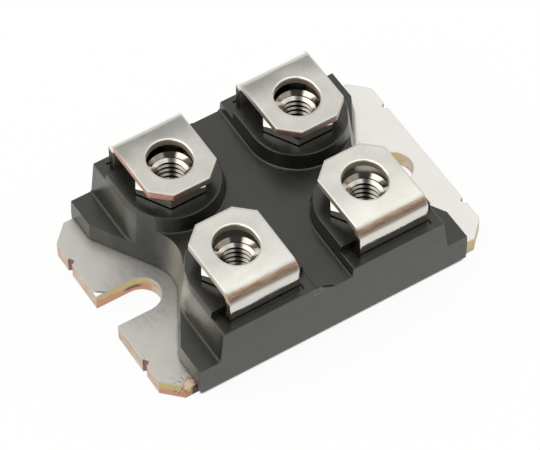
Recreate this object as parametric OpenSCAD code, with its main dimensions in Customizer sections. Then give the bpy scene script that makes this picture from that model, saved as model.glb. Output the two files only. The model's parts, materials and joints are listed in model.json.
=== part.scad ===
// Dual diode power module in a flat four-terminal package with an insulated metal base.
// X runs along the length, with the closed mounting hole at +X and the open slot at -X,
// Y runs across and Z is up. The origin is the middle of the seating face.

/* [Base plate] */
// Length of the metal base plate
plate_l = 38; // [36.5:0.1:40]
// Width of the base plate
plate_w = 24; // [22:0.1:24.6]
// Thickness of the base plate
plate_t = 2; // [1.6:0.1:2.4]
// Chamfer across each corner of the base plate
plate_chamfer = 1.9; // [0.5:0.1:3]
// Distance from the centres of the mounting hole and of the slot's round end to the ends of the plate
mount_edge = 3.9; // [3.4:0.1:4.5]
// Diameter of the closed mounting hole
mount_hole_d = 4.2; // [3.6:0.1:4.8]
// Width of the open mounting slot
mount_slot_w = 4.3; // [3.6:0.1:4.8]
// Radius of the notches that the carrier strip leaves in the short edges
notch_r = 0.4; // [0.2:0.05:0.8]
// Distance of those notches from the centre line
notch_y = 7.4; // [4:0.1:9]

/* [Housing] */
// Length of the moulding where it meets the plate
body_l = 31.8; // [31:0.1:33]
// Width of the moulding
body_w = 25.3; // [25:0.1:27]
// Height at which the side skirts stop above the seating face
skirt_z = 0.5; // [0.2:0.1:1.2]
// Height of the low corner wings
wing_z = 4; // [3:0.1:5]
// Height of the channel floor between the bosses
floor_z = 7; // [6:0.1:7.6]
// Height of the outer ledges that the terminals come out of
ledge_z = 8.15; // [7.7:0.05:8.6]
// Height of the bosses
boss_z = 9; // [8.8:0.1:9.8]
// Radius of the round inner end of each boss, at its top
boss_r = 5.25; // [4.9:0.05:5.6]
// Lean of the boss and recess walls, in degrees
wall_draft = 6.8; // [3:0.1:8]
// Lean of the end faces of the wings, in degrees
end_draft = 5; // [1:0.5:8]
// Radius of the upright corners of the wings
corner_r = 0.2; // [0.1:0.1:1]
// Radius of the upper edges along the sides of the bosses and ledges
rim_r = 0.15; // [0.1:0.05:0.4]
// Radius of the fillets at the foot of those sides
fillet_r = 0.2; // [0.1:0.05:0.6]
// Height of the mould line in which those fillets end
line_h = 0.05; // [0.02:0.01:0.08]
// Distance by which the lower ends of the skirts draw in
skirt_inset = 0.2; // [0.1:0.05:0.4]
// Radius of the scoop round each mounting hole, at the plate
scoop_r = 3.8; // [3.2:0.05:3.85]
// Angle between the slanted recess faces and the length, in degrees
recess_angle = 59.5; // [50:0.5:66]
// Run along the length of the gate remnant beside the front end of the channel
gate_run = 2.1; // [1:0.1:3]
// Thickness of the gate remnant
gate_t = 0.25; // [0.15:0.05:0.5]
// Radius of the ejector mark at the back end of the channel floor
mark_r = 1.5; // [0.8:0.1:1.8]
// Depth of the ejector mark
mark_depth = 0.1; // [0.05:0.05:0.3]
// Distance of the ejector mark from the middle of the length
mark_x = 0.3; // [0:0.1:0.5]

/* [Terminals] */
// Distance between terminal holes along the length
terminal_pitch_x = 15; // [14.4:0.1:15.8]
// Distance between terminal holes across the width
terminal_pitch_y = 12.7; // [12.3:0.1:13]
// Height of the terminal faces above the seating face
terminal_z = 12; // [11.6:0.1:13]
// Width of a terminal strip
terminal_w = 8; // [7:0.1:8.6]
// Thickness of a terminal strip
terminal_t = 0.8; // [0.6:0.05:1]
// Width of the oblong screw hole in a terminal
terminal_hole_d = 4.5; // [4.1:0.1:4.9]
// Extra length of that hole across the width of the module
hole_stretch = 0.5; // [0.2:0.1:0.8]
// Rounding of the rim of the screw hole
hole_rim_r = 0.1; // [0.05:0.05:0.2]
// Reach of a terminal from its hole towards the centre line
terminal_tip = 4.25; // [3.5:0.05:4.8]
// Cut of the inner corners along the length
tip_cut_x = 1.9; // [0.5:0.1:2.5]
// Cut of the inner corners across the width
tip_cut_y = 1.75; // [0.5:0.05:2.5]
// Distance from the screw hole to the outer face of the leg
leg_offset = 5.35; // [5:0.05:5.6]
// Outer radius of the bends
bend_r = 1.3; // [1.1:0.1:1.8]
// Height inside the moulding at which the leg narrows
neck_z = 6; // [5.4:0.1:6.6]
// Width of the inner foot of a terminal
foot_w = 3.4; // [2.4:0.1:3.8]
// Length of the foot that is soldered down
foot_l = 2; // [1.4:0.1:2.2]
// Depth of the relief in the ledge round each leg
relief_depth = 0.2; // [0.1:0.05:0.5]
// Clearance of that relief round the leg
relief_gap = 0.3; // [0.1:0.05:0.4]

/* [Nuts] */
// Width across the flats of a nut
nut_af = 7; // [6.4:0.1:7.2]
// Thickness of a nut
nut_t = 3.2; // [2.4:0.1:4]
// Thread diameter of a nut
thread_d = 4; // [3:0.5:4]
// Depth of the countersinks of a nut
nut_sink = 0.4; // [0.1:0.05:0.5]
// Play of a nut between its pocket floor and the terminal above it
nut_play = 1; // [0.8:0.1:1.2]
// Clearance between a nut and each side of its pocket
nut_gap = 0.1; // [0.05:0.05:0.2]
// Thickness of the wall between a nut pocket and the end of its boss
pocket_wall = 0.25; // [0.15:0.05:0.35]
// Diameter of the well under a nut for the end of the screw
well_d = 4.4; // [4:0.1:5]
// Depth of that well
well_depth = 2; // [0.5:0.1:2.2]

/* [Circuit] */
// Thickness of a solder layer
solder_t = 0.1; // [0.05:0.01:0.15]
// Thickness of the copper on the ceramic tile
copper_t = 0.3; // [0.2:0.05:0.4]
// Thickness of the ceramic tile
ceramic_t = 0.6; // [0.4:0.05:0.7]
// Bare rim of the ceramic tile round its copper
ceramic_rim = 0.5; // [0.3:0.1:0.8]
// Gap between neighbouring copper pads
pad_gap = 1; // [0.6:0.1:1.4]
// Distance from the centre of the tile to the gap between the two pads of a diode
pad_split = 2.9; // [2.6:0.1:3.2]
// Bare pad round what is soldered to it
pad_rim = 0.1; // [0.05:0.05:0.3]
// Side of a diode die
chip_l = 7; // [5:0.1:7.2]
// Thickness of a diode die
chip_t = 0.3; // [0.2:0.05:0.4]
// Distance between a die and the terminal foot beside it
chip_gap = 0.7; // [0.4:0.1:1]
// Distance from a die to the edge of its pad
chip_rim = 0.5; // [0.3:0.1:0.6]
// Diameter of a bond wire
wire_d = 0.4; // [0.2:0.05:0.5]
// Number of bond wires on each die
wire_count = 5; // [3:1:7]
// Rise of a bond wire above the line between its ends
wire_rise = 1; // [0.7:0.1:1.2]
// Distance of the wire ends on a die from its edge
wire_inset = 1.6; // [1:0.1:2]
// Distance of the wire ends on a pad from the terminal foot beyond them
wire_gap = 0.8; // [0.5:0.1:1.2]

/* [Hidden] */
$fn = 64;

// Signs of x and y for terminals 1 to 4, counted round from the front left
CORNERS = [[-1, -1], [1, -1], [1, 1], [-1, 1]];
// Reach of cutting tools past the faces that they cut
over = 1;
// Size of a block that stands for everything on one side of a plane
far = 60;

mount_x = plate_l / 2 - mount_edge;
terminal_x = terminal_pitch_x / 2;
terminal_y = terminal_pitch_y / 2;
leg_y = terminal_y + leg_offset;
bend_in_r = bend_r - terminal_t;
wall_slope = tan(wall_draft);
boss_foot_r = side_at(plate_t);
nut_z = terminal_z - terminal_t - nut_play - nut_t;
pocket_af = nut_af + 2 * nut_gap;
step_y = terminal_y + pocket_af / 2 + pocket_wall;
// The lower third of the skirts draws in at their ends
skirt_step_z = skirt_z + (plate_t - skirt_z) / 3;
// The middle of the moulding ends inside the scoops, at this share of their radius
web_share = 0.8;
web_x = mount_x - web_share * scoop_r;

back_copper_z = plate_t + solder_t;
ceramic_z = back_copper_z + copper_t;
pad_z = ceramic_z + ceramic_t;
pad_top = pad_z + copper_t;
foot_z = pad_top + solder_t;
chip_z = pad_top + solder_t;
chip_top = chip_z + chip_t;
foot_tip_y = leg_y - bend_r - foot_l - pad_rim;
chip_x = pad_split - pad_gap / 2 - chip_rim - chip_l / 2;
foot_x = chip_l / 2 - chip_x + chip_gap + foot_w / 2;
copper_x = foot_x + foot_w / 2 + pad_rim;
copper_y = foot_tip_y + foot_l + pad_rim;
ceramic_x = copper_x + ceramic_rim;
ceramic_y = copper_y + ceramic_rim;
chip_y = -(copper_y + pad_gap / 2) / 2;
wire_start_x = chip_x + chip_l / 2 - wire_inset;
wire_end_x = foot_x - foot_w / 2 - wire_gap;

// Distance of the side of a boss from its axis at height z
function side_at(z) = boss_r + (boss_z - z) * wall_slope;
// Distance from the corner of such a side at which an arc of radius r touches it
function touch_run(r) = r / tan(45 + wall_draft / 2);

// Shapes used by more than one piece

// A block centred on the Z axis that stands on height z
module slab(l, w, z, h) {
    translate([-l / 2, -w / 2, z]) cube([l, w, h]);
}

// Places a shape drawn for the back (+Y) side, with x = 0 on the hole, at terminal i
module at_terminal(i) {
    translate([CORNERS[i].x * terminal_x, 0, 0])
        rotate([0, 0, CORNERS[i].y > 0 ? 0 : 180]) children();
}

// Places a shape drawn on the Y axis at the foot of terminal i, which can lie beside its hole
module at_foot(i) {
    outward = CORNERS[i].x * CORNERS[i].y;
    translate([outward * (foot_x - terminal_x), 0, 0]) children();
}

// Places a shape drawn for diode 1, at the front, at either diode
module at_diode(d) {
    rotate([0, 0, 180 * (d - 1)]) children();
}

// Everything nearer to the Z axis than a plane that leans outwards from the plate upwards
module inside_plane(direction, distance, lean) {
    rotate([0, 0, direction]) translate([distance, 0, plate_t]) rotate([0, lean, 0])
        translate([-far, -far / 2, -far / 2]) cube(far);
}

module plate_blank() {
    x = plate_l / 2;
    y = plate_w / 2;
    c = plate_chamfer;
    linear_extrude(plate_t)
        polygon([[x, y - c], [x - c, y], [c - x, y], [-x, y - c],
                 [-x, c - y], [c - x, -y], [x - c, -y], [x, c - y]]);
}

// Base plate

module base_plate() {
    color("#c4c2bc") difference() {
        plate_blank();
        translate([mount_x, 0, -over]) cylinder(h = plate_t + 2 * over, d = mount_hole_d);
        translate([-mount_x, 0, -over]) {
            cylinder(h = plate_t + 2 * over, d = mount_slot_w);
            translate([-far, -mount_slot_w / 2, 0]) cube([far, mount_slot_w, plate_t + 2 * over]);
        }
        for (x = [-1, 1], y = [-1, 1])
            translate([x * plate_l / 2, y * notch_y, -over])
                cylinder(h = plate_t + 2 * over, r = notch_r);
    }
}

// Moulded housing

// Lowest part of the moulding: side skirts, and wings with leaning end faces
module foot_block() {
    half = body_l / 2;
    low = half - skirt_inset;
    top = half - (wing_z - plate_t) * tan(end_draft);
    inner = [body_l - 2 * corner_r, body_w - 2 * corner_r];
    intersection() {
        translate([0, body_w / 2, 0]) rotate([90, 0, 0]) linear_extrude(body_w)
            for (end = [0, 1]) mirror([end, 0])
                polygon([[0, skirt_z], [low, skirt_z], [low, skirt_step_z], [half, skirt_step_z],
                         [half, plate_t], [top, wing_z], [0, wing_z]]);
        linear_extrude(wing_z) {
            square([body_l, inner.y], center = true);
            square([inner.x, body_w], center = true);
            for (x = [-1, 1], y = [-1, 1])
                translate([x * inner.x / 2, y * inner.y / 2]) circle(corner_r);
        }
    }
}

// Middle of the moulding, from the plate up to height top
module core_block(top) {
    slab(2 * terminal_x, body_w, plate_t, top - plate_t);
    slab(2 * web_x, 2 * terminal_y, plate_t, top - plate_t);
}

// Half of a section across a boss or ledge of height top, with a leaning side and a rounded rim
module side_section(top) {
    corner = side_at(top);
    run = touch_run(rim_r);
    centre = [corner - run, top - rim_r];
    polygon([[0, plate_t], [boss_foot_r, plate_t],
             [corner + run * sin(wall_draft), top - run * cos(wall_draft)],
             centre, [centre.x, top], [0, top]]);
    translate(centre) circle(rim_r);
}

// Section of the fillet at the foot of such a side, on a floor at height z
module fillet_section(z) {
    // The fillet starts just inside the side, so that the two surfaces cross and don't only touch
    sink = 0.02;
    foot = z + line_h;
    corner = side_at(foot) - sink;
    run = touch_run(fillet_r);
    centre = [corner + run, foot + fillet_r];
    touch = [corner - run * sin(wall_draft), foot + run * cos(wall_draft)];
    difference() {
        polygon([[corner - fillet_r, z - fillet_r], [centre.x, z - fillet_r], centre,
                 touch, [corner - fillet_r, touch.y]]);
        translate(centre) circle(fillet_r);
    }
}

// Runs half a section and its mirror image from y1 to y2
module side_run(y1, y2) {
    translate([0, y2, 0]) rotate([90, 0, 0]) linear_extrude(y2 - y1)
        for (side = [0, 1]) mirror([side, 0]) children();
}

// One boss, with its round end towards the centre line, and the ledge behind it
module boss() {
    translate([0, terminal_y, 0]) rotate_extrude() side_section(boss_z);
    side_run(terminal_y, step_y) side_section(boss_z);
    side_run(step_y, body_w / 2) side_section(ledge_z);
}

// Fillet round the foot of one boss, on a floor at height z
module boss_fillet(z) {
    translate([0, terminal_y, 0]) rotate_extrude() fillet_section(z);
    side_run(terminal_y, body_w / 2) fillet_section(z);
}

// Space round the mounting hole at the +X end: a scoop that opens out between two slanted faces
module end_recess() {
    // The faces start just inside the scoop, so that they run into it without a step
    seam = 0.01;
    low = -over;
    high = boss_z + over;
    // The wedge between the faces ends just short of the scoop's inner wall
    wedge_stop = 0.02;
    back = sin(recess_angle) - wedge_stop;
    translate([mount_x, 0, 0]) {
        translate([0, 0, low])
            cylinder(h = high - low, r1 = scoop_r + (low - plate_t) * wall_slope,
                     r2 = scoop_r + (high - plate_t) * wall_slope);
        intersection() {
            slab(far, far, low, high - low);
            inside_plane(180 - (90 - recess_angle), scoop_r - seam, wall_draft);
            inside_plane(180 + (90 - recess_angle), scoop_r - seam, wall_draft);
            inside_plane(180, back * scoop_r, atan(back * wall_slope));
        }
    }
}

// Hexagonal nut pocket, with the well for the end of the screw under it
module nut_pocket() {
    translate([0, terminal_y, nut_z])
        cylinder(h = boss_z - nut_z + over, d = pocket_af / cos(30), $fn = 6);
    translate([0, terminal_y, nut_z - well_depth]) cylinder(h = well_depth + over, d = well_d);
}

// Shallow relief in the ledge round a leg
module leg_relief() {
    w = terminal_w + 2 * relief_gap;
    translate([-w / 2, step_y, ledge_z - relief_depth])
        cube([w, leg_y + relief_gap - step_y, relief_depth + over]);
}

// Ramp that the broken gate left between the front left ledge and the channel floor
module gate_remnant() {
    side_x = terminal_x - boss_r;
    translate([-side_x, gate_t - body_w / 2, 0]) rotate([90, 0, 0]) linear_extrude(gate_t)
        polygon([[-over, floor_z - over], [-over, ledge_z], [0, ledge_z],
                 [gate_run, floor_z], [gate_run, floor_z - over]]);
}

// Round ejector mark at the back end of the channel, cut by the long face
module ejector_mark() {
    translate([mark_x, body_w / 2, floor_z - mark_depth]) cylinder(h = mark_depth + over, r = mark_r);
}

module moulding() {
    gate_remnant();
    difference() {
        union() {
            foot_block();
            core_block(floor_z);
            for (i = [0:3]) at_terminal(i) {
                boss();
                boss_fillet(wing_z);
            }
            intersection() {
                core_block(boss_z);
                for (i = [0:3]) at_terminal(i) boss_fillet(floor_z);
            }
        }
        ejector_mark();
        for (turn = [0, 180]) rotate([0, 0, turn]) end_recess();
        for (i = [0:3]) at_terminal(i) {
            nut_pocket();
            leg_relief();
        }
    }
}

module housing() {
    color("#45464a") difference() {
        moulding();
        plate_blank();
        base_solder();
        substrate_back_copper();
        substrate_ceramic();
        for (i = [0:3]) {
            terminal(i);
            terminal_solder(i);
        }
        for (d = [1, 2]) {
            cathode_pad(d);
            anode_pad(d);
            chip_solder(d);
            diode_chip(d);
            bond_wires(d);
        }
    }
}

// Terminals and nuts

// Quarter of a bend, from the centre of its radii outwards in +Y and +Z
module bend_section() {
    intersection() {
        difference() {
            circle(bend_r);
            circle(bend_in_r);
        }
        square(bend_r + over);
    }
}

// Side view of a terminal: plate, bend, leg, bend and foot
module terminal_section() {
    top_z = terminal_z - bend_r;
    low_z = foot_z + bend_r;
    bend_y = leg_y - bend_r;
    tip_y = terminal_y - terminal_tip;
    translate([tip_y, terminal_z - terminal_t]) square([bend_y - tip_y, terminal_t]);
    translate([bend_y, top_z]) bend_section();
    translate([leg_y - terminal_t, low_z]) square([terminal_t, top_z - low_z]);
    translate([bend_y, low_z]) mirror([0, 1]) bend_section();
    translate([foot_tip_y, foot_z]) square([bend_y - foot_tip_y, terminal_t]);
}

// Outline of a terminal's screw hole
module hole_outline() {
    square([terminal_hole_d, hole_stretch], center = true);
    for (end = [-1, 1]) translate([0, end * hole_stretch / 2]) circle(d = terminal_hole_d);
}

// Section of the strip that rounds the rim of that hole when it is taken away
module hole_rim_section() {
    r = terminal_hole_d / 2;
    difference() {
        translate([r - hole_rim_r, -hole_rim_r]) square(2 * hole_rim_r);
        translate([r + hole_rim_r, -hole_rim_r]) circle(hole_rim_r);
    }
}

module hole_rim() {
    for (turn = [0, 180]) rotate([0, 0, turn]) translate([0, hole_stretch / 2, 0]) {
        rotate_extrude(angle = 180) hole_rim_section();
        rotate([90, 0, 0]) linear_extrude(hole_stretch) hole_rim_section();
    }
}

module terminal(i) {
    half = terminal_w / 2;
    color("#d8d5cf") at_terminal(i) difference() {
        translate([-half, 0, 0]) rotate([90, 0, 90]) linear_extrude(terminal_w) terminal_section();
        translate([0, terminal_y, terminal_z]) {
            translate([0, 0, -terminal_t - over]) linear_extrude(terminal_t + 2 * over) hole_outline();
            hole_rim();
        }
        for (side = [-1, 1]) {
            translate([side * half, terminal_y - terminal_tip, neck_z]) linear_extrude(far)
                polygon([[-side * tip_cut_x, 0], [-side * (tip_cut_x + over), -over],
                         [side * over, -over], [side * over, tip_cut_y + over], [0, tip_cut_y]]);
            at_foot(i) translate([side * (foot_w + far) / 2, 0, neck_z / 2])
                cube([far, far, neck_z], center = true);
        }
    }
}

// Hexagon nut with corners along the length, both faces chamfered
module nut() {
    corner = nut_af / cos(30) / 2;
    face_r = nut_af / 2;
    drop = (corner - face_r) * tan(30);
    difference() {
        intersection() {
            cylinder(h = nut_t, r = corner, $fn = 6);
            rotate_extrude() polygon([[0, 0], [face_r, 0], [corner + over, drop + over * tan(30)],
                                      [corner + over, nut_t - drop - over * tan(30)],
                                      [face_r, nut_t], [0, nut_t]]);
        }
        translate([0, 0, -over]) cylinder(h = nut_t + 2 * over, d = thread_d);
        for (z = [0, nut_t]) translate([0, 0, z]) mirror([0, 0, z > 0 ? 1 : 0])
            cylinder(h = nut_sink, d1 = thread_d + 2 * nut_sink, d2 = thread_d);
    }
}

module terminal_nuts() {
    color("#b9b8b2") for (i = [0:3])
        at_terminal(i) translate([0, terminal_y, nut_z]) nut();
}

// Circuit inside the moulding

module base_solder() {
    color("#a9adb2") slab(2 * copper_x, 2 * copper_y, plate_t, solder_t);
}

module substrate_back_copper() {
    color("#c9825a") slab(2 * copper_x, 2 * copper_y, back_copper_z, copper_t);
}

module substrate_ceramic() {
    color("#ecebe6") slab(2 * ceramic_x, 2 * ceramic_y, ceramic_z, ceramic_t);
}

// Copper pad of a front diode between two places along the length
module pad(x1, x2) {
    color("#c9825a") translate([x1, -copper_y, pad_z])
        cube([x2 - x1, copper_y - pad_gap / 2, copper_t]);
}

module cathode_pad(d) {
    at_diode(d) pad(-copper_x, pad_split - pad_gap / 2);
}

module anode_pad(d) {
    at_diode(d) pad(pad_split + pad_gap / 2, copper_x);
}

module chip_solder(d) {
    color("#a9adb2") at_diode(d) translate([chip_x, chip_y, 0])
        slab(chip_l, chip_l, pad_top, solder_t);
}

module diode_chip(d) {
    color("#5f6672") at_diode(d) translate([chip_x, chip_y, 0])
        slab(chip_l, chip_l, chip_z, chip_t);
}

// One wire in the XZ plane: an arc that ends flat on the die and on the pad
module bond_wire() {
    start = [wire_start_x, chip_top];
    end = [wire_end_x, pad_top];
    span = end - start;
    chord = norm(span);
    r = chord * chord / 8 / wire_rise + wire_rise / 2;
    middle = (start + end) / 2;
    centre = middle - [-span.y, span.x] / chord * (r - wire_rise);
    intersection() {
        translate([centre.x, 0, centre.y]) rotate([90, 0, 0])
            rotate_extrude() translate([r, 0]) circle(d = wire_d, $fn = 24);
        union() {
            translate([middle.x - far, -wire_d, chip_top]) cube([far, 2 * wire_d, far]);
            translate([middle.x, -wire_d, pad_top]) cube([far, 2 * wire_d, far]);
        }
    }
}

module bond_wires(d) {
    row = chip_l - 2 * chip_rim - wire_d;
    color("#d5d6d8") at_diode(d) for (n = [0:wire_count - 1])
        translate([0, chip_y + (n / (wire_count - 1) - 0.5) * row, 0]) bond_wire();
}

module terminal_solder(i) {
    color("#a9adb2") at_terminal(i) at_foot(i) translate([-foot_w / 2, foot_tip_y, pad_top])
        cube([foot_w, foot_l, solder_t]);
}

base_plate();
housing();
terminal(0);  // terminal_1
terminal(1);  // terminal_2
terminal(2);  // terminal_3
terminal(3);  // terminal_4
terminal_nuts();
base_solder();
substrate_back_copper();
substrate_ceramic();
cathode_pad(1);  // cathode_pad_1
anode_pad(1);  // anode_pad_1
cathode_pad(2);  // cathode_pad_2
anode_pad(2);  // anode_pad_2
chip_solder(1);  // chip_solder_1
diode_chip(1);  // diode_chip_1
bond_wires(1);  // bond_wires_1
chip_solder(2);  // chip_solder_2
diode_chip(2);  // diode_chip_2
bond_wires(2);  // bond_wires_2
terminal_solder(0);  // terminal_solder_1
terminal_solder(1);  // terminal_solder_2
terminal_solder(2);  // terminal_solder_3
terminal_solder(3);  // terminal_solder_4
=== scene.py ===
"""Looks of a dual diode power module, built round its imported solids."""

import json
import math
from types import SimpleNamespace

import bmesh
import bpy
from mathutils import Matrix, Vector


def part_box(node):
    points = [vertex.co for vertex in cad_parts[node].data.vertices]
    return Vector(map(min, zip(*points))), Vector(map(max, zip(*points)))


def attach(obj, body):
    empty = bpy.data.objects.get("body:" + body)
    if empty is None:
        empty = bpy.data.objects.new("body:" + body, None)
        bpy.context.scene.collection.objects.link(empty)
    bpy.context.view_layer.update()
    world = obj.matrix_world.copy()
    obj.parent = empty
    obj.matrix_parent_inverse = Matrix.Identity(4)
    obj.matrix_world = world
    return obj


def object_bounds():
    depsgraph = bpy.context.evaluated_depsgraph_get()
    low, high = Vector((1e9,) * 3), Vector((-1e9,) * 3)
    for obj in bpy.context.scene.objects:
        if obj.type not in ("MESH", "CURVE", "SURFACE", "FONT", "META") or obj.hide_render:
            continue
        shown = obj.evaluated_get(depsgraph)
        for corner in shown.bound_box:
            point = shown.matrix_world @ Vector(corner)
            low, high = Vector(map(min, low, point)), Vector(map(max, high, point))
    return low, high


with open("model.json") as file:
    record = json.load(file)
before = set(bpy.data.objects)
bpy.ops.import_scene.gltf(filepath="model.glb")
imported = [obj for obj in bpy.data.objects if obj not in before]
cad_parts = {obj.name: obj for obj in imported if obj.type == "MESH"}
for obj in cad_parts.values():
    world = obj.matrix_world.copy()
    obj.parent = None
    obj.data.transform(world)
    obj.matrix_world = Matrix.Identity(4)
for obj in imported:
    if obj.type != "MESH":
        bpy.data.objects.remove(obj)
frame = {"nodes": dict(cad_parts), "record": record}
cad_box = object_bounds()

MM = 0.001

# The photograph's camera: where it stands, what the middle of the picture looks at, its roll in degrees,
# and its lens and sensor in millimetres
CAMERA_PLACE = Vector((-116.29, -195.22, 299.26)) * MM
CAMERA_AIM = Vector((-0.366, -0.957, 4.223)) * MM
CAMERA_ROLL = -1.27
LENS = 245.58
SENSOR_WIDTH = 36.0

# Sizes and places that the materials use are in millimetres: first half the object's length and width
HALF_LENGTH = cad_box[1].x / MM
HALF_WIDTH = cad_box[1].y / MM

# Axes of the terminals' screw holes and the middle of the slot's round end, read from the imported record
TERMINALS = (1, 2, 3, 4)
MOUNTS = {m["name"]: m for m in frame["record"]["mounts"]}
HOLES = {i: Vector(MOUNTS[f"nut_thread_{i}"]["pos_m"]) / MM for i in TERMINALS}
SLOT_END = Vector(MOUNTS["mounting_slot"]["pos_m"]) / MM

# Outer radius of the bends of the terminals, reach of their holes from the axis, and radius and half the
# extra length of those holes
BEND_R = 1.3
HOLE_REACH = 2.9
HOLE_R = 2.25
HOLE_STRETCH = 0.25
# The slight bow of the terminals towards their bends: where it starts past the hole's axis, its radius, and
# the run over which it fades in the bend
BOW_START = 0.8
BOW_R = 17.0
BOW_FADE = 1.4

# Painted light and shade of each terminal as its plating's brightness, how much bare copper shows on its left
# edges, on the cut corner there, on its other edges and along its outer bend, and how strongly a painted
# highlight brightens that bend
TERMINAL_WEAR_AND_LIGHT = {
    1: {"shade": 0.98, "left": 0.20, "corner": 0.20, "rest": 0.35, "bend": 0.85, "bend_highlight": 0.0},
    2: {"shade": 1.06, "left": 0.15, "corner": 0.15, "rest": 0.35, "bend": 0.75, "bend_highlight": 0.0},
    3: {"shade": 0.97, "left": 0.25, "corner": 0.80, "rest": 0.45, "bend": 0.05, "bend_highlight": 0.9},
    4: {"shade": 0.92, "left": 0.75, "corner": 0.95, "rest": 0.30, "bend": 0.05, "bend_highlight": 0.9},
}

# Dust and painted sheen on the moulding: its reach round the slot's end in the scoop, where the walls beside
# the scoop start, the top of those walls, the side that they stop at, and the line between the walls and the
# wings' ends
SCOOP_REACH = 6.0
WALL_X = -12.6
LEDGE_Z = 8.15
SIDE_Y = -12.1
WING_X = -14.5
# Rough scar of the moulding's gate
GATE = Vector((-1.9, -12.45, 7.6))

# Marks and painted light on the plate: a dark streak in its slot, a corner with dark spots and a bare corner,
# a painted shadow in the gap between that corner and the moulding, and a chip at the slot's mouth with a
# painted glint and shade
STREAK = Vector((-14.9, 1.9, 0.7))
SPOTTED_CORNER = Vector((-16.6, -11.4, 0))
BARE_CORNER = Vector((-16.5, -12.1, 0))
SHADOW_GAP = Vector((-16.1, -11.8, 0))
CHIP = Vector((-HALF_LENGTH, 2.1, 0))
# Top of the bare copper on the plate's edges, and place and depth of the notches in its short edges
COPPER_TOP = 1.85
NOTCH_Y = 7.4
NOTCH_DEPTH = 0.7

# Painted shade in the nuts' bores: its reach from the axis, and the heights between which it darkens
# downwards
BORE_SHADE_REACH = 2.2
BORE_SHADE_START_Z = 9.9
BORE_SHADE_FULL_Z = 8.6

# The shadow on the floor under the moulding's long sides: where it starts and is full inwards from the side,
# where it ends there, and its half length
SHADOW_START = 0.09
SHADOW_FULL = 0.33
SHADOW_END = 1.65
SHADOW_X = 15.5
# Where the floor in front of the object starts to darken in reflections, and where it is darkest
FLOOR_LIGHT_Y = -14.0
FLOOR_DARK_Y = -42.0

# Metric thread of the terminal nuts, in metres, with half the width of its ridge at the foot and at the tip
THREAD_PITCH = 0.7 * MM
THREAD_CREST_R = 1.62 * MM
THREAD_ROOT_R = 2.01 * MM
THREAD_FOOT = 0.46 * THREAD_PITCH
THREAD_TIP = 0.11 * THREAD_PITCH
THREAD_STEPS = 56
# Depth of a nut's countersink, and how far the thread runs on below the nut
NUT_SINK = 0.4 * MM
THREAD_RUNOUT = 1.2 * MM
# How steeply the ridge rises from the countersink, and its turn round the bore in degrees
THREAD_START = 3.0
THREAD_TURN = 28.0

# The floor's half width and its drop below the object, in metres
FLOOR_REACH = 1.5
FLOOR_DROP = 0.02 * MM

# Directions of the studio: the dark stand of the camera, the dark room behind it, and a soft box on the left
STAND = Vector((-0.36, -0.61, 0.70)).normalized()
ROOM = Vector((0.31, -0.85, 0.42)).normalized()
LEFT_BOX = Vector((-0.80, 0.20, 0.55)).normalized()
# Light of the studio's dome at the horizon, what it gains overhead, and how late on the way up it gains it
DOME_LOW = 0.40
DOME_GAIN = 1.18
DOME_POWER = 2.2

WHITE = (1.0, 1.0, 1.0)


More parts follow.
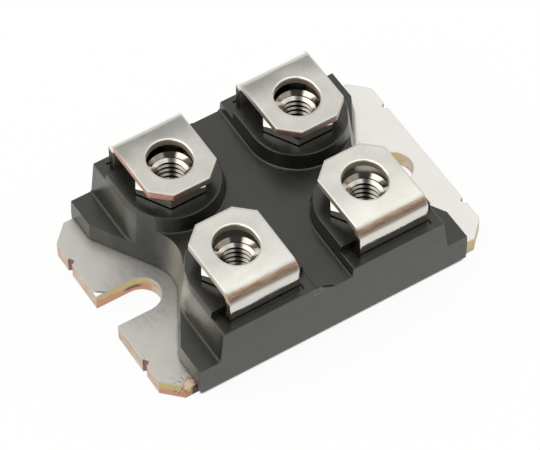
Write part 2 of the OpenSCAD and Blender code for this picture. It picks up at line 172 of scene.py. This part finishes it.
class Graph:
    """A material's nodes, with short calls that add a node and feed its sockets."""

    def __init__(self, name, tree=None):
        if tree is None:
            self.material = bpy.data.materials.new(name)
            self.material.use_nodes = True
            tree = self.material.node_tree
        self.tree = tree
        self.tree.nodes.clear()

    def feed(self, socket, value):
        """Joins a node's output to a socket, or sets the socket's own number or colour."""
        if isinstance(value, bpy.types.NodeSocket):
            self.tree.links.new(value, socket)
        elif isinstance(value, (tuple, list)) and len(value) == 3 and socket.type == "RGBA":
            socket.default_value = (*value, 1.0)
        else:
            socket.default_value = value

    def add(self, kind, sockets=None, **settings):
        node = self.tree.nodes.new("ShaderNode" + kind)
        for key, value in settings.items():
            setattr(node, key, value)
        for key, value in (sockets or {}).items():
            self.feed(node.inputs[key], value)
        return node

    def math(self, operation, a, b=0.0):
        return self.add("Math", {0: a, 1: b}, operation=operation).outputs[0]

    def plus(self, first, *others):
        for value in others:
            first = self.math("ADD", first, value)
        return first

    def minus(self, a, b):
        return self.math("SUBTRACT", a, b)

    def times(self, first, *others):
        for value in others:
            first = self.math("MULTIPLY", first, value)
        return first

    def most(self, first, *others):
        for value in others:
            first = self.math("MAXIMUM", first, value)
        return first

    def least(self, a, b):
        return self.math("MINIMUM", a, b)

    def absolute(self, value):
        return self.math("ABSOLUTE", value)

    def span(self, value, low, high, to_low=0.0, to_high=1.0):
        """A smooth step of value from low to high."""
        sockets = {"Value": value, "From Min": low, "From Max": high, "To Min": to_low, "To Max": to_high}
        return self.add("MapRange", sockets, interpolation_type="SMOOTHSTEP").outputs["Result"]

    def above(self, value, edge, soft):
        """1 where value is above an edge, 0 below it, with a soft step between."""
        return self.span(value, edge - soft, edge + soft)

    def below(self, value, edge, soft):
        """1 where value is below an edge, 0 above it, with a soft step between."""
        return self.span(value, edge + soft, edge - soft)

    def near(self, value, centre, outer, inner):
        """1 where value is within inner of the centre, and 0 from outer on."""
        return self.span(self.absolute(self.minus(value, centre)), outer, inner)

    def mix(self, share, a, b):
        """Colour a, with a share of colour b."""
        node = self.add("Mix", data_type="RGBA")
        self.feed(node.inputs[0], share)
        self.feed(node.inputs[6], a)
        self.feed(node.inputs[7], b)
        return node.outputs[2]

    def blend(self, share, a, b):
        """Number a, with a share of number b."""
        node = self.add("Mix", data_type="FLOAT")
        self.feed(node.inputs[0], share)
        self.feed(node.inputs[2], a)
        self.feed(node.inputs[3], b)
        return node.outputs[0]

    def place(self, stretch=(1, 1, 1), turn=0.0):
        """Places on the object in millimetres, turned in plan by degrees and stretched along the axes."""
        sockets = {
            "Vector": self.add("TexCoord").outputs["Object"],
            "Scale": tuple(MM / s for s in stretch),
            "Rotation": (0, 0, math.radians(turn)),
        }
        return self.add("Mapping", sockets, vector_type="TEXTURE").outputs[0]

    def split(self, vector):
        return self.add("SeparateXYZ", {0: vector}).outputs

    def spot(self):
        """Where a point lies in millimetres, and how squarely its surface faces along each axis."""
        x, y, z = self.split(self.place())
        nx, ny, nz = [self.absolute(n) for n in self.split(self.add("NewGeometry").outputs["True Normal"])]
        return SimpleNamespace(x=x, y=y, z=z, nx=nx, ny=ny, nz=nz)

    def dot(self, vector, direction):
        return self.add("VectorMath", {0: vector, 1: direction}, operation="DOT_PRODUCT").outputs["Value"]

    def hypotenuse(self, a, b):
        return self.math("SQRT", self.plus(self.times(a, a), self.times(b, b)))

    def far_from(self, point, x, y):
        """Distance in plan from a point in millimetres."""
        return self.hypotenuse(self.minus(x, point.x), self.minus(y, point.y))

    def noise(self, size, detail=2.0, rough=0.5, stretch=(1, 1, 1), turn=0.0, seed=0.0):
        """Noise from 0 to 1 whose lumps are about size millimetres wide."""
        sockets = {
            "Vector": self.place(stretch, turn),
            "Scale": 1 / size,
            "Detail": detail,
            "Roughness": rough,
            "W": seed,
        }
        return self.add("TexNoise", sockets, noise_dimensions="4D").outputs["Fac"]

    def specks(self, size, share, radius):
        """Small round specks, each in a share of the cells of a grid of that size."""
        cells = self.add("TexVoronoi", {"Vector": self.place(), "Scale": 1 / size, "W": 0.0},
                         voronoi_dimensions="4D")
        chosen = self.math("LESS_THAN", self.split(cells.outputs["Color"])[0], share)
        return self.times(chosen, self.span(cells.outputs["Distance"], radius, 0.6 * radius))

    def soft_edges(self, radius):
        """The surface's direction with its edges rounded to a radius in millimetres."""
        return self.add("Bevel", {"Radius": radius * MM}, samples=6).outputs[0]

    def bump(self, height, strength, depth, normal):
        sockets = {"Height": height, "Strength": strength, "Distance": depth * MM, "Normal": normal}
        return self.add("Bump", sockets).outputs[0]

    def surface(self, **sockets):
        """The finished surface, from a Principled shader's sockets."""
        shader = self.add("BsdfPrincipled", {k.replace("_", " "): v for k, v in sockets.items()})
        self.add("OutputMaterial", {"Surface": shader.outputs[0]})
        return self.material


def grey(screen):
    """The linear value of a grey from 0 to 255 on the screen."""
    s = screen / 255
    return s / 12.92 if s <= 0.04045 else ((s + 0.055) / 1.055) ** 2.4


def colour(r, g, b):
    """The linear colour of one from 0 to 255 on the screen."""
    return (grey(r), grey(g), grey(b))


def shaded(tone, shade):
    return tuple(c * shade for c in tone)


# Moulding

def moulding_dust_and_sheen(g, at):
    """How strongly dust and a painted sheen of light from the left lighten the scoop over the slot and the
    walls beside it.
    """
    from_slot = g.far_from(SLOT_END, at.x, at.y)
    in_scoop = g.times(g.below(from_slot, SCOOP_REACH, 0.6), g.below(at.y, 1.0, 1.4))
    in_scoop = g.times(in_scoop, g.above(at.nx, 0.4, 0.2))
    on_walls = g.times(g.below(at.x, WALL_X, 0.2), g.below(at.z, LEDGE_Z, 0.25), g.above(at.y, SIDE_Y, 0.2))
    on_walls = g.times(on_walls, g.span(at.nx, 0.7, 0.95), g.span(from_slot, 14.0, 7.5))
    # Painted sheen: stronger on the front walls than on the back ones, and weaker towards the walls' foot
    back_or_front = g.span(at.y, 2.0, -2.0, 0.32, 0.9)
    foot = g.times(g.above(at.x, WING_X, 0.5), g.span(at.z, 7.6, 4.5))
    on_walls = g.times(on_walls, back_or_front, g.span(foot, 0.0, 1.0, 1.0, 0.2))
    return g.most(in_scoop, on_walls)


def moulding_material():
    """Black filled moulding compound with a fine satin skin, dust with a painted sheen near the slot, and a
    scar at the gate.
    """
    g = Graph("moulding")
    at = g.spot()
    cloud = g.noise(5.0, detail=3)
    grain = g.noise(0.16, detail=2, rough=0.6)
    ragged = g.noise(0.35, detail=3, seed=5)
    dust_and_sheen = g.times(moulding_dust_and_sheen(g, at), g.span(cloud, 0.3, 0.7, 0.6, 0.95))
    at_gate = g.times(g.near(at.x, GATE.x, 0.9, 0.3), g.near(at.z, GATE.z, 0.6, 0.2))
    scar = g.times(at_gate, g.below(at.y, GATE.y, 0.15), g.span(ragged, 0.42, 0.6))

    skin = g.mix(cloud, colour(27, 28, 25), colour(35, 36, 32))
    skin = g.mix(g.times(g.specks(1.1, 0.05, 0.10), 0.35), skin, colour(120, 118, 112))
    # Dust and a painted sheen of light from the left lighten the scoop and the walls of the left end
    skin = g.mix(dust_and_sheen, skin, colour(138, 134, 122))
    skin = g.mix(g.times(scar, 0.5), skin, colour(150, 150, 142))
    rough = g.span(g.noise(1.6, detail=4), 0.3, 0.7, 0.24, 0.32)
    rough = g.blend(scar, rough, 0.6)
    normal = g.bump(grain, 0.10, 0.02, g.soft_edges(0.08))
    normal = g.bump(g.times(scar, ragged), 0.6, 0.15, normal)
    return g.surface(Base_Color=skin, Roughness=rough, IOR=1.6, Normal=normal)


# Terminals

def strip_spot(g, i):
    """Where a point lies on a terminal, with the sizes of its strip."""
    at = g.spot()
    low, high = (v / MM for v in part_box(f"terminal_{i}"))
    at.hole = HOLES[i]
    at.top = high.z
    at.tip = min(abs(low.y), abs(high.y))
    at.leg = max(abs(low.y), abs(high.y))
    at.heel = at.leg - BEND_R
    at.out = g.absolute(at.y)
    at.upright = g.below(at.nz, 0.5, 0.1)
    return at


def cut_edges(g, at):
    """The edges that the strip was cut along: its sides and its tip."""
    tip = g.below(at.out, at.tip + 0.45, 0.15)
    return g.times(at.upright, g.most(g.above(at.nx, 0.4, 0.1), tip))


def bare_share(g, at, i):
    """How much bare copper shows on the cut edges, in patches."""
    wear_and_light = TERMINAL_WEAR_AND_LIGHT[i]
    left = g.below(at.x, at.hole.x, 0.2)
    corner = g.times(g.above(at.ny, 0.4, 0.1), g.above(at.nx, 0.4, 0.1))
    share = g.blend(left, wear_and_light["rest"], g.blend(corner, wear_and_light["left"], wear_and_light["corner"]))
    return g.times(share, g.span(g.noise(0.5, detail=3, seed=i + 3), 0.3, 0.6, 0.5, 1.0))


def hole_wall(g, at):
    return g.times(at.upright, g.span(g.far_from(at.hole, at.x, at.y), HOLE_REACH, HOLE_REACH - 0.15))


def hole_rim_highlight(g, at):
    """Painted highlight of a raised rim round the oblong screw hole, on the side where it catches the light.
    """
    dx = g.minus(at.x, at.hole.x)
    dy = g.minus(at.y, at.hole.y)
    past_straight = g.most(g.minus(g.absolute(dy), HOLE_STRETCH), 0.0)
    rim = g.span(g.hypotenuse(dx, past_straight), HOLE_R + 0.24, HOLE_R + 0.12)
    lit = g.span(g.plus(dx, g.times(dy, 0.6)), -0.6, 2.2)
    return g.times(g.above(at.nz, 0.7, 0.1), rim, lit)


def bend_angle(g, at):
    """How far round the outer bend a point lies, in radians from the strip's top."""
    return g.math("ARCTAN2", g.minus(at.out, at.heel), g.minus(at.z, at.top - BEND_R))


def strip_bow(g, at):
    """Height of the strip's bow, which curves down to the bend and fades out in it."""
    start = abs(at.hole.y) + BOW_START
    length = at.heel - start
    slope = length / BOW_R
    past = g.most(g.minus(at.out, start), 0.0)
    level = g.least(past, length)
    over = g.least(g.most(g.minus(past, length), 0.0), BOW_FADE)
    curve = g.minus(g.times(level, level, -0.5 / BOW_R), g.times(over, slope))
    return g.plus(curve, g.times(over, over, 0.5 * slope / BOW_FADE))


def terminal_material(i):
    """Bright nickel on copper strip, rubbed through along the outer bend and bare where it was cut, with
    painted shade per terminal and painted highlights.
    """
    g = Graph(f"terminal_plating_{i}")
    at = strip_spot(g, i)
    wear_and_light = TERMINAL_WEAR_AND_LIGHT[i]
    cloud = g.noise(2.6, detail=3, seed=i + 7)
    brushed = g.span(g.noise(0.4, detail=4, rough=0.65, stretch=(0.2, 2.0, 1.0), turn=4, seed=i), 0.2, 0.8)
    scratches = g.span(g.noise(0.25, detail=2, stretch=(2.0, 0.12, 1.0), turn=-35, seed=i + 20), 0.62, 0.72)
    lines = g.noise(0.14, detail=3, rough=0.7, stretch=(0.10, 1.0, 1.0), seed=i + 12)
    pits = g.noise(0.22, detail=3, rough=0.7, seed=i + 9)
    cut = cut_edges(g, at)
    torn = g.times(cut, g.span(at.z, at.top - 0.9, at.top - 1.5))
    wall = hole_wall(g, at)
    angle = bend_angle(g, at)
    # Painted highlight: the back terminals' bends brightened towards white, fading out down the leg
    bend_highlight_share = g.times(g.span(angle, 0.05, 0.60), g.span(angle, 1.50, 1.10), wear_and_light["bend_highlight"])
    rubbed = g.times(g.span(angle, 0.36, 0.68), g.span(angle, 1.30, 0.95))
    rubbed = g.times(rubbed, g.span(cloud, 0.25, 0.6, 0.7, 1.0), wear_and_light["bend"])

    # Painted light and shade: each terminal's plating is brightened or darkened by its own factor
    dull = shaded((0.55, 0.545, 0.52), wear_and_light["shade"])
    bright = shaded((0.65, 0.645, 0.615), wear_and_light["shade"])
    bare = g.mix(g.noise(0.8, detail=2, seed=i + 5), colour(186, 112, 96), colour(232, 166, 148))
    pitted = g.mix(g.span(pits, 0.5, 0.62), colour(34, 28, 24), colour(128, 110, 94))
    streaked = g.mix(g.span(lines, 0.40, 0.60), colour(192, 144, 112), colour(246, 212, 182))
    plate = g.mix(g.plus(g.times(g.span(cloud, 0.3, 0.7), 0.5), g.times(brushed, 0.5)), dull, bright)
    plate = g.mix(g.times(scratches, 0.3), plate, (0.8, 0.79, 0.77))
    plate = g.mix(g.times(cut, bare_share(g, at, i)), plate, bare)
    plate = g.mix(torn, plate, pitted)
    plate = g.mix(g.times(wall, 0.7), plate, colour(196, 186, 168))
    # Painted highlight on the screw hole's rim
    plate = g.mix(g.times(hole_rim_highlight(g, at), 0.7), plate, (0.95, 0.945, 0.92))
    # Painted highlight on the bend
    plate = g.mix(bend_highlight_share, plate, (0.95, 0.945, 0.93))
    plate = g.mix(rubbed, plate, streaked)

    inside = g.times(g.below(at.out, at.leg - 0.6, 0.1), g.below(at.z, at.top - 0.55, 0.15))
    inside = g.times(inside, g.below(at.x, at.hole.x - 2.7, 0.3))
    rough = g.plus(g.times(brushed, 0.14), g.times(cloud, 0.06))
    rough = g.blend(rubbed, rough, 0.36)
    rough = g.blend(g.most(cut, wall), rough, 0.55)
    rough = g.blend(inside, rough, 0.55)
    normal = g.bump(strip_bow(g, at), 1.0, 1.0, g.soft_edges(0.35))
    normal = g.bump(g.noise(3.0, detail=0, seed=i + 15), 1.0, 0.12, normal)
    normal = g.bump(g.plus(brushed, scratches), 0.06, 0.02, normal)
    return g.surface(Base_Color=plate, Metallic=1.0, Roughness=rough, Normal=normal)


# Base plate

def punched_edge(g, at):
    """Colour of the plate's punched edges: pink, gold and olive layers, paler and torn on the short edges."""
    layer = g.plus(at.z, g.times(g.noise(1.6, detail=3, seed=8), 2.0))
    low = g.mix(g.above(at.x, 0.0, 2.0), colour(192, 136, 112), colour(174, 162, 122))
    gold = g.mix(g.above(layer, 2.0, 0.3), low, colour(188, 170, 114))
    streak = g.times(g.span(g.far_from(STREAK, at.x, at.y), 1.3, 0.5), g.near(at.z, STREAK.z, 0.35, 0.15))
    gold = g.mix(g.times(streak, 0.8), gold, colour(74, 46, 38))
    torn = g.noise(0.6, detail=3, stretch=(1, 0.5, 3), seed=9)
    pale = g.mix(g.above(torn, 0.5, 0.15), colour(178, 150, 132), colour(206, 188, 172))
    notch = g.near(g.absolute(at.y), NOTCH_Y, 0.50, 0.42)
    pale = g.mix(notch, pale, colour(124, 92, 76))
    in_notch = g.times(notch, g.above(g.absolute(at.x), HALF_LENGTH - NOTCH_DEPTH, 0.1))
    return g.mix(g.most(g.span(at.nx, 0.8, 0.95), in_notch), gold, pale)


def with_worn_corner_and_gap_shadow(g, at, plate, fine):
    """The plate's colour with a painted shadow in the gap beside the moulding, and the bare corner next to
    it.
    """
    by_moulding = g.above(g.plus(at.x, g.times(fine, 0.5)), SHADOW_GAP.x, 0.2)
    gap_shadow = g.times(at.upright, g.below(at.y, SHADOW_GAP.y, 0.1), by_moulding, g.below(at.x, WING_X, 0.5))
    # Painted shadow in the gap between the plate's corner and the moulding
    plate = g.mix(g.times(gap_shadow, 0.9), plate, colour(52, 44, 36))
    from_bare = g.minus(g.plus(g.far_from(BARE_CORNER, at.x, at.y), g.times(fine, 0.5)), 0.25)
    high = g.span(at.z, 1.2, 1.5)
    plate = g.mix(g.times(g.span(from_bare, 0.80, 0.45), high, 0.8), plate, colour(222, 196, 174))
    rim = g.near(from_bare, 0.72, 0.14, 0.06)
    return g.mix(g.times(rim, high, 0.4), plate, colour(190, 92, 62))


def with_chip_glint_and_shade(g, at, plate, fine):
    """The plate's colour with a painted glint on a chip at the slot's mouth, and painted shade along a dented
    line beside it.
    """
    along = g.minus(at.x, CHIP.x)
    across = g.minus(at.y, CHIP.y)
    from_chip = g.plus(along, g.times(across, 1.3), g.times(fine, 0.5))
    there = g.times(at.flat, g.span(across, -1.0, -0.5))
    # Painted glint on the chip
    plate = g.mix(g.times(there, g.span(from_chip, 1.3, 1.0)), plate, (0.92, 0.92, 0.94))
    dent_shade = g.times(g.near(from_chip, 1.35, 0.16, 0.06), g.span(along, 0.2, 0.4))
    # Painted shade along the dented line
    return g.mix(g.times(there, dent_shade, 0.8), plate, colour(64, 66, 74))


def base_material():
    """Satin nickel plate, with painted shade darkening it towards its slot, scuffed there, and with bare
    copper on its punched edges.
    """
    g = Graph("base_metal")
    at = g.spot()
    at.upright = g.below(at.nz, 0.5, 0.1)
    at.flat = g.span(at.nz, 0.8, 0.95)
    cloud = g.noise(3.5, detail=4)
    fine = g.noise(0.25, detail=3, rough=0.6)
    handled = g.noise(0.5, detail=5, rough=0.7, stretch=(1.0, 0.4, 1.0), seed=6)
    spotty = g.noise(0.22, detail=3, rough=0.7, seed=4)
    scuffs = g.times(g.span(g.far_from(SLOT_END, at.x, at.y), 5.2, 2.8), g.span(handled, 0.35, 0.68))
    dark_spots = g.times(g.span(g.far_from(SPOTTED_CORNER, at.x, at.y), 2.2, 0.5), g.span(spotty, 0.52, 0.62))
    crevice = g.add("AmbientOcclusion", {"Distance": 0.7 * MM}, samples=8).outputs["AO"]
    # Painted shade: darker where other surfaces stand close, in crevices and at the moulding's foot, from
    # ambient occlusion, mottled
    crevice_shade = g.times(g.span(g.plus(crevice, g.times(fine, 0.25)), 0.88, 0.62), at.flat)

    plate = g.mix(cloud, (0.71, 0.705, 0.69), (0.81, 0.805, 0.79))
    # Painted shade: the plate darkens towards its slot end, where the moulding blocks its reflections
    plate = g.mix(g.span(at.x, 12.0, -10.0, 0.0, 0.64), plate, (0.36, 0.355, 0.335))
    plate = g.mix(g.times(scuffs, 0.25), plate, colour(104, 100, 90))
    plate = g.mix(g.times(at.upright, g.below(at.z, COPPER_TOP, 0.1), 0.9), plate, punched_edge(g, at))
    # Darker in spots round the corner next to the moulding
    plate = g.mix(g.times(dark_spots, 0.85), plate, colour(45, 42, 36))
    plate = with_worn_corner_and_gap_shadow(g, at, plate, fine)
    plate = with_chip_glint_and_shade(g, at, plate, fine)
    # Painted shade in crevices
    plate = g.mix(g.times(crevice_shade, 0.8), plate, colour(70, 66, 58))

    rough = g.span(g.noise(0.8, detail=3, seed=3), 0.3, 0.7, 0.34, 0.42)
    rough = g.blend(g.most(g.times(at.upright, 0.6), dark_spots, scuffs), rough, 0.5)
    normal = g.bump(fine, 0.10, 0.02, g.soft_edges(0.10))
    normal = g.bump(handled, g.times(scuffs, 0.2), 0.05, normal)
    return g.surface(Base_Color=plate, Metallic=1.0, Roughness=rough, Normal=normal)


# Nuts and the circuit inside

def nut_material():
    """Plated steel, with painted shade darkening it down in the thread."""
    g = Graph("nut_steel")
    at = g.spot()
    # The other three nuts mirror the third one's place
    from_axis = g.far_from(HOLES[3], g.absolute(at.x), g.absolute(at.y))
    bore_shade = g.times(g.below(from_axis, BORE_SHADE_REACH, 0.1), g.span(at.z, BORE_SHADE_START_Z, BORE_SHADE_FULL_Z))
    metal = g.mix(g.noise(1.2, detail=3), (0.58, 0.55, 0.50), (0.72, 0.70, 0.65))
    # Painted shade low in the bore, darker downwards
    metal = g.mix(g.times(bore_shade, 0.75), metal, (0.15, 0.14, 0.12))
    rough = g.span(g.noise(0.3, detail=3, seed=2), 0.3, 0.7, 0.07, 0.13)
    return g.surface(Base_Color=metal, Metallic=1.0, Roughness=rough)


def plain_material(name, dark, light, metallic, rough, size):
    """A mottled material of a piece inside the moulding."""
    g = Graph(name)
    mottle = g.noise(size, detail=3)
    skin = g.mix(mottle, dark, light)
    satin = g.span(mottle, 0.2, 0.8, rough, rough + 0.15)
    return g.surface(Base_Color=skin, Metallic=metallic, Roughness=satin)


def inner_materials():
    """Materials of the circuit, by the slots that the record gives its pieces."""
    return {
        "solder": plain_material("solder", (0.36, 0.37, 0.39), (0.46, 0.47, 0.49), 1.0, 0.35, 0.6),
        "copper": plain_material("copper", (0.56, 0.25, 0.13), (0.68, 0.33, 0.18), 1.0, 0.30, 0.8),
        "ceramic": plain_material("ceramic", (0.78, 0.77, 0.73), (0.85, 0.84, 0.81), 0.0, 0.45, 0.5),
        "silicon": plain_material("silicon", (0.06, 0.07, 0.09), (0.10, 0.11, 0.13), 0.3, 0.15, 1.5),
        "wire": plain_material("wire", (0.66, 0.66, 0.67), (0.74, 0.74, 0.75), 1.0, 0.25, 0.2),
    }


def dress(node, material):
    """Gives a CAD node its material."""
    obj = frame["nodes"][node]
    if not obj.data.materials:
        obj.data.materials.append(material)
    for slot in obj.material_slots:
        slot.link = "OBJECT"
        slot.material = material


def dress_nodes(nut_steel):
    dress("housing", moulding_material())
    dress("base_plate", base_material())
    dress("terminal_nuts", nut_steel)
    for i in TERMINALS:
        dress(f"terminal_{i}", terminal_material(i))
    inner = inner_materials()
    for part in frame["record"]["subparts"]:
        if part["material_slot"] in inner:
            dress(part["node"], inner[part["material_slot"]])


# Added pieces

def new_object(name, bm, material):
    mesh = bpy.data.meshes.new(name)
    bm.to_mesh(mesh)
    bm.free()
    obj = bpy.data.objects.new(name, mesh)
    bpy.context.scene.collection.objects.link(obj)
    mesh.materials.append(material)
    return obj


def new_piece(name, bm, material):
    piece = new_object(name, bm, material)
    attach(piece, "root")
    return piece


def nut_thread(i, material):
    """Ridge of a terminal nut's thread, wound through the bore and cut off by the countersink."""
    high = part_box("terminal_nuts")[1].z
    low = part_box("terminal_nuts")[0].z - THREAD_RUNOUT
    centre = HOLES[i] * MM
    count = int((high - low) / THREAD_PITCH * THREAD_STEPS)
    section = [
        (THREAD_ROOT_R, -THREAD_FOOT),
        (THREAD_CREST_R, -THREAD_TIP),
        (THREAD_CREST_R, THREAD_TIP),
        (THREAD_ROOT_R, THREAD_FOOT),
    ]
    bm = bmesh.new()
    rings = []
    for n in range(count + 1):
        angle = 2 * math.pi * n / THREAD_STEPS + math.radians(THREAD_TURN)
        z = low + THREAD_PITCH * n / THREAD_STEPS
        ring = []
        for r, dz in section:
            height = min(max(z + dz, low), high)
            depth = high - height - NUT_SINK
            r = max(r, THREAD_ROOT_R - (depth if depth < 0 else THREAD_START * depth))
            x = centre.x + r * math.cos(angle)
            y = centre.y + r * math.sin(angle)
            ring.append(bm.verts.new((x, y, height)))
        rings.append(ring)
    sides = len(section)
    for a, b in zip(rings, rings[1:]):
        for k in range(sides):
            following = (k + 1) % sides
            bm.faces.new((a[k], a[following], b[following], b[k]))
    bm.faces.new(rings[0])
    bm.faces.new(reversed(rings[-1]))
    bmesh.ops.recalc_face_normals(bm, faces=bm.faces)
    return new_piece(f"nut_thread_{i}", bm, material)


# Floor, light and camera

def floor_material():
    """Floor that is white to the eye, darker in front in reflections, and dark under the moulding's sides."""
    g = Graph("floor")
    path = g.add("LightPath").outputs
    seen = g.most(path["Is Camera Ray"], path["Is Glossy Ray"], path["Is Transmission Ray"])
    x, y = g.split(g.place())[:2]
    side = g.absolute(y)
    under = g.span(side, HALF_WIDTH - SHADOW_START, HALF_WIDTH - SHADOW_FULL)
    under = g.times(under, g.above(side, HALF_WIDTH - SHADOW_END, 0.5), g.below(g.absolute(x), SHADOW_X, 0.3))
    front = g.span(y, FLOOR_LIGHT_Y, FLOOR_DARK_Y)
    mirrored = g.mix(front, (1.15, 1.14, 1.09), (0.34, 0.32, 0.29))
    diffuse = g.add("BsdfDiffuse", {"Color": (0.92, 0.92, 0.92)})
    glow = g.add("Emission", {"Color": g.mix(path["Is Camera Ray"], mirrored, WHITE), "Strength": 1.0})
    share = g.times(seen, g.minus(1.0, under), 0.93)
    shader = g.add("MixShader", {0: share, 1: diffuse.outputs[0], 2: glow.outputs[0]})
    g.add("OutputMaterial", {"Surface": shader.outputs[0]})
    return g.material


def floor():
    bm = bmesh.new()
    bmesh.ops.create_grid(bm, x_segments=1, y_segments=1, size=FLOOR_REACH)
    obj = new_object("floor", bm, floor_material())
    obj.location.z = -FLOOR_DROP


def studio_world():
    """A white tent: bright overhead, at the sides and low at the back, and dark round the camera."""
    world = bpy.data.worlds.new("studio")
    world.use_nodes = True
    g = Graph("studio", world.node_tree)
    to_eye = g.add("LightPath").outputs["Is Camera Ray"]
    towards = g.add("TexCoord").outputs["Generated"]
    x, y, z = g.split(towards)
    dome = g.plus(g.times(g.math("POWER", g.most(z, 0.0), DOME_POWER), DOME_GAIN), DOME_LOW)
    left = g.span(g.dot(towards, LEFT_BOX), 0.70, 0.95)
    right = g.span(x, 0.45, 0.85, 0.0, 0.5)
    behind = g.span(y, 0.35, 0.75)
    backdrop = g.times(behind, g.span(z, 0.50, 0.30), 0.55)
    gap = g.times(behind, g.near(z, 0.54, 0.16, 0.04), -0.12)
    light = g.plus(dome, left, right, backdrop, gap)
    tent = g.mix(g.span(g.dot(towards, ROOM), 0.80, 0.96), (1.0, 0.985, 0.945), (0.60, 0.57, 0.52))
    tent = g.mix(g.span(g.dot(towards, STAND), 0.88, 0.95), tent, (0.07, 0.065, 0.06))
    tone = g.mix(to_eye, tent, WHITE)
    sky = g.add("Background", {"Color": tone, "Strength": g.blend(to_eye, light, 1.0)})
    g.add("OutputWorld", {"Surface": sky.outputs[0]})
    bpy.context.scene.world = world


def camera():
    data = bpy.data.cameras.new("camera")
    data.lens = LENS
    data.sensor_width = SENSOR_WIDTH
    data.clip_start = 0.01
    data.clip_end = 10.0
    obj = bpy.data.objects.new("camera", data)
    bpy.context.scene.collection.objects.link(obj)
    obj.location = CAMERA_PLACE
    obj.rotation_euler = (CAMERA_AIM - CAMERA_PLACE).to_track_quat("-Z", "Y").to_euler()
    obj.rotation_euler.rotate_axis("Z", math.radians(CAMERA_ROLL))
    bpy.context.scene.camera = obj


nut_steel = nut_material()
dress_nodes(nut_steel)
for i in TERMINALS:
    nut_thread(i, nut_steel)
floor()
studio_world()
camera()
bpy.context.scene.view_settings.view_transform = "Standard"
